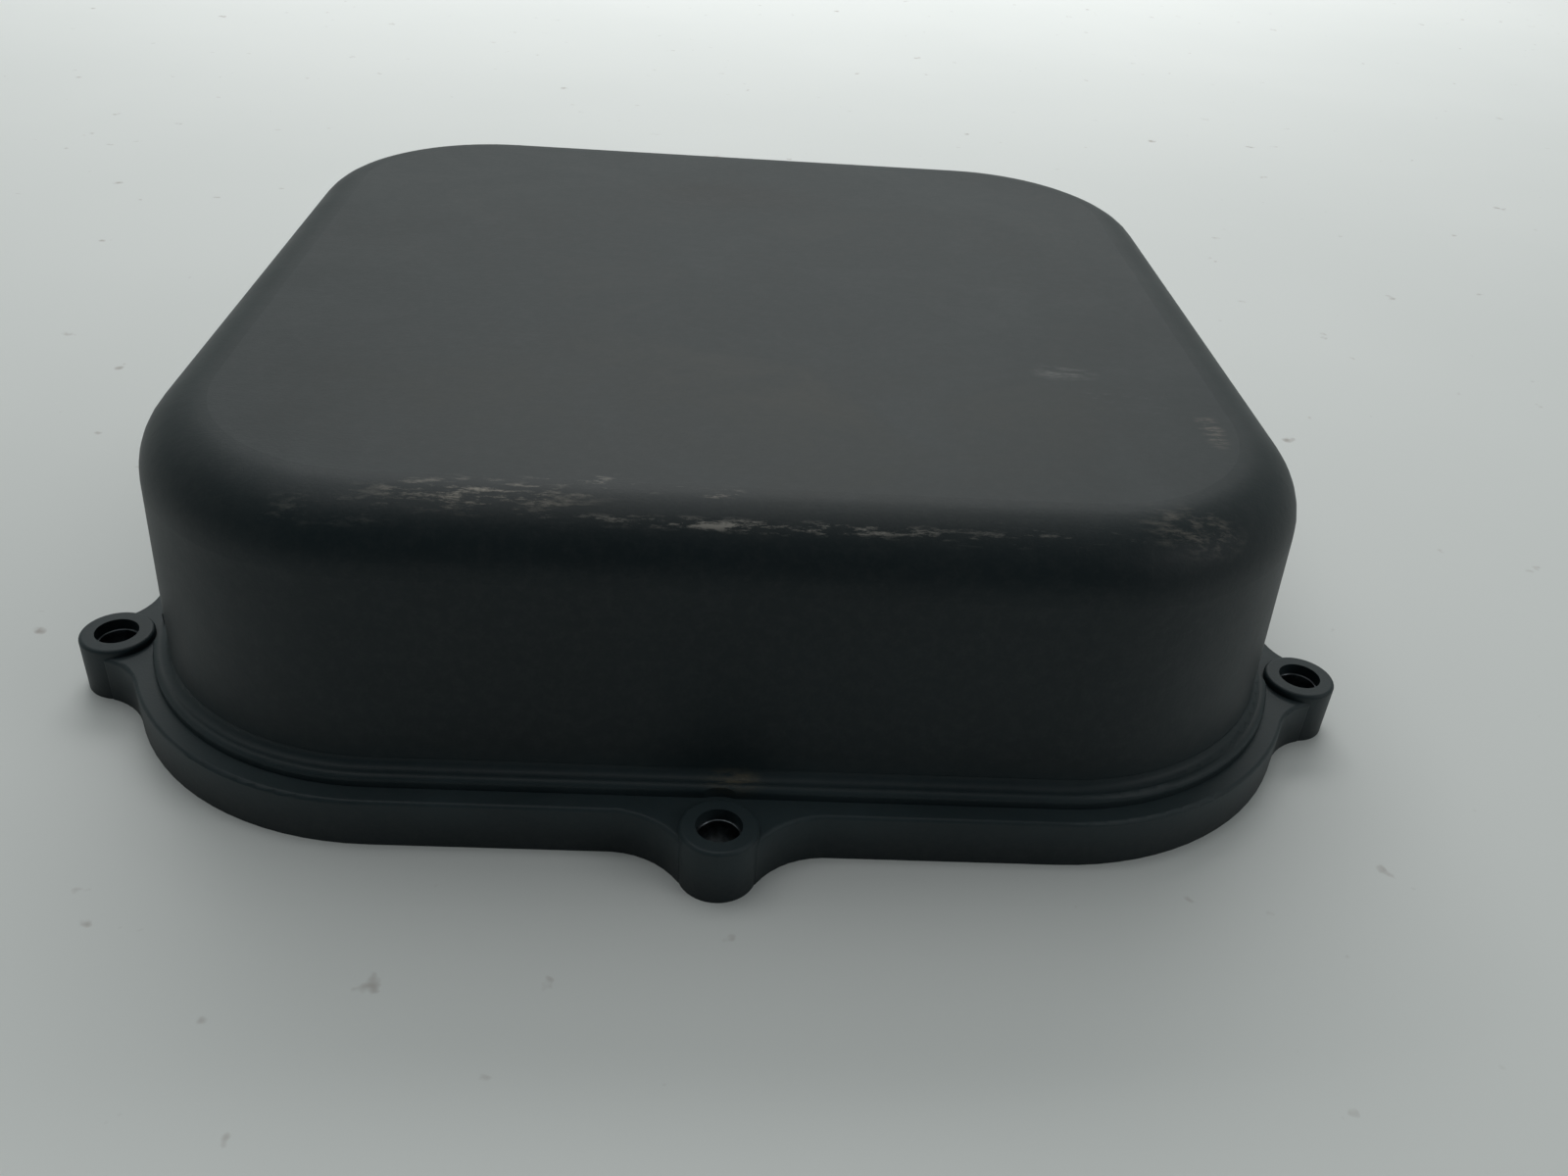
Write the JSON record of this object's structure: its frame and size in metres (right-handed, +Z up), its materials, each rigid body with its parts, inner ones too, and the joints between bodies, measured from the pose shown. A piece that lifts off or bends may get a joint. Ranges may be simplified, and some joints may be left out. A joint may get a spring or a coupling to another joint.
{
  "type": "garage door opener head",
  "caption": "Compact garage door opener head: round-cornered lugged cover over a base plate with worm gearmotor, encoder, transformer and control board.",
  "frame": {"origin": "centre of the rim's underside, on the surface that the rim rests on", "axes": "+Z up out of the rim plane to the cover's flat top, +X across the side lugs, -Y towards the front lug"},
  "size_m": [0.2296, 0.231, 0.0574],
  "materials": {
    "black_nylon": "satin moulded",
    "sleeve_steel": "zinc plated",
    "plate_steel": "zinc plated sheet",
    "gasket_rubber": "matt",
    "screw_steel": "zinc plated",
    "can_steel": "plated drawn steel",
    "dark_plastic": "moulded",
    "ferrite": "sintered",
    "carbon": "pressed carbon",
    "bronze": "sintered bronze",
    "bright_steel": "ground",
    "lamination": "stacked sheet",
    "enamel_copper": "enamelled wire",
    "copper": "turned copper",
    "cast_alloy": "die cast",
    "lid_plastic": "moulded",
    "seal_rubber": "smooth",
    "machined_steel": "machined",
    "wheel_nylon": "moulded nylon",
    "spring_steel": "blackened",
    "gear_acetal": "moulded acetal",
    "disc_plastic": "opaque film",
    "sensor_plastic": "moulded",
    "board_laminate": "solder mask",
    "standoff_brass": "turned",
    "chip_epoxy": "moulded epoxy",
    "relay_plastic": "moulded",
    "capacitor_sleeve": "shrunk sleeve",
    "clip_brass": "stamped",
    "fuse_glass": "clear tube",
    "anodised": "black anodised",
    "terminal_green": "moulded",
    "tinned_can": "tinned",
    "led_red": "diffused",
    "switch_plastic": "moulded",
    "button_amber": "moulded",
    "button_grey": "moulded",
    "trimmer_blue": "moulded",
    "knob_cream": "moulded",
    "core_steel": "varnished laminations",
    "coil_tape": "polyester tape",
    "terminal_white": "moulded",
    "wire_pvc": "extruded"
  },
  "bodies": {
    "base": {"base_plate": "plate_steel", "rim_gasket": "gasket_rubber", "flush_screws": "screw_steel", "motor_can": "can_steel", "motor_end_cap": "dark_plastic", "motor_magnets": "ferrite", "motor_brushes": "carbon", "motor_bearings": "bronze", "motor_saddle": "dark_plastic", "motor_strap": "tinned_can", "sheet_screws": "screw_steel", "gear_case": "cast_alloy", "gear_case_lid": "lid_plastic", "lid_screws": "screw_steel", "worm_end_bush": "bronze", "output_bush": "bronze", "lid_bush": "bronze", "output_seal": "seal_rubber", "encoder_post": "bright_steel", "encoder_clip": "spring_steel", "optical_sensor": "sensor_plastic", "sensor_bracket": "tinned_can", "control_board": "board_laminate", "board_standoffs": "standoff_brass", "board_screws": "screw_steel", "board_chips": "chip_epoxy", "relays": "relay_plastic", "reservoir_capacitor": "capacitor_sleeve", "fuse_holder": "clip_brass", "fuse": "fuse_glass", "heat_sink": "anodised", "board_terminals": "terminal_green", "terminal_screws": "standoff_brass", "radio_receiver": "tinned_can", "status_led": "led_red", "button_bodies": "switch_plastic", "trimmer_bodies": "trimmer_blue", "transformer_core": "core_steel", "transformer_coil": "coil_tape", "supply_terminals": "terminal_white", "cable_grommet": "seal_rubber", "internal_leads": "wire_pvc"},
    "rotor": {"motor_shaft": "bright_steel", "armature_core": "lamination", "armature_windings": "enamel_copper", "commutator": "copper", "worm": "bright_steel"},
    "output": {"output_hub": "machined_steel", "worm_wheel": "wheel_nylon", "wheel_key": "bright_steel", "wheel_circlip": "spring_steel", "encoder_pinion": "gear_acetal"},
    "encoder": {"encoder_gear": "gear_acetal", "encoder_disc": "disc_plastic"},
    "cover": {"cover": "black_nylon", "lug_sleeves": "sleeve_steel"},
    "learn_button": {"learn_button": "button_amber"},
    "test_button": {"test_button": "button_grey"},
    "open_force_knob": {"open_force_knob": "knob_cream"},
    "close_force_knob": {"close_force_knob": "knob_cream"}
  },
  "joints": [
    {"name": "cover_lift", "type": "slide", "parent": "base", "child": "cover", "axis": [0, 0, 1], "range_m": [0, 0.11]},
    {"name": "output_turn", "type": "hinge", "parent": "base", "child": "output", "pos_m": [-0.024, 0.02, 0.012], "axis": [0, 0, 1], "continuous": true},
    {"name": "rotor_spin", "type": "hinge", "parent": "base", "child": "rotor", "pos_m": [-0.055, 0, 0.027], "axis": [0, 1, 0], "continuous": true},
    {"name": "encoder_spin", "type": "hinge", "parent": "base", "child": "encoder", "pos_m": [-0.024, 0.0488, 0.044], "axis": [0, 0, 1], "continuous": true},
    {"name": "learn_press", "type": "slide", "parent": "base", "child": "learn_button", "axis": [0, 0, -1], "range_m": [0, 0.0005], "stiffness_N_per_m": 800, "springref_m": -0.0005},
    {"name": "test_press", "type": "slide", "parent": "base", "child": "test_button", "axis": [0, 0, -1], "range_m": [0, 0.0005], "stiffness_N_per_m": 800, "springref_m": -0.0005},
    {"name": "open_force_turn", "type": "hinge", "parent": "base", "child": "open_force_knob", "pos_m": [0.062, -0.069, 0.018], "axis": [0, 0, 1], "range_deg": [-130, 130]},
    {"name": "close_force_turn", "type": "hinge", "parent": "base", "child": "close_force_knob", "pos_m": [0.0712, -0.069, 0.018], "axis": [0, 0, 1], "range_deg": [-130, 130]}
  ],
  "couplings": [
    {"joint": "rotor_spin", "follows": "output_turn", "ratio": -40},
    {"joint": "encoder_spin", "follows": "output_turn", "ratio": -0.33333}
  ]
}
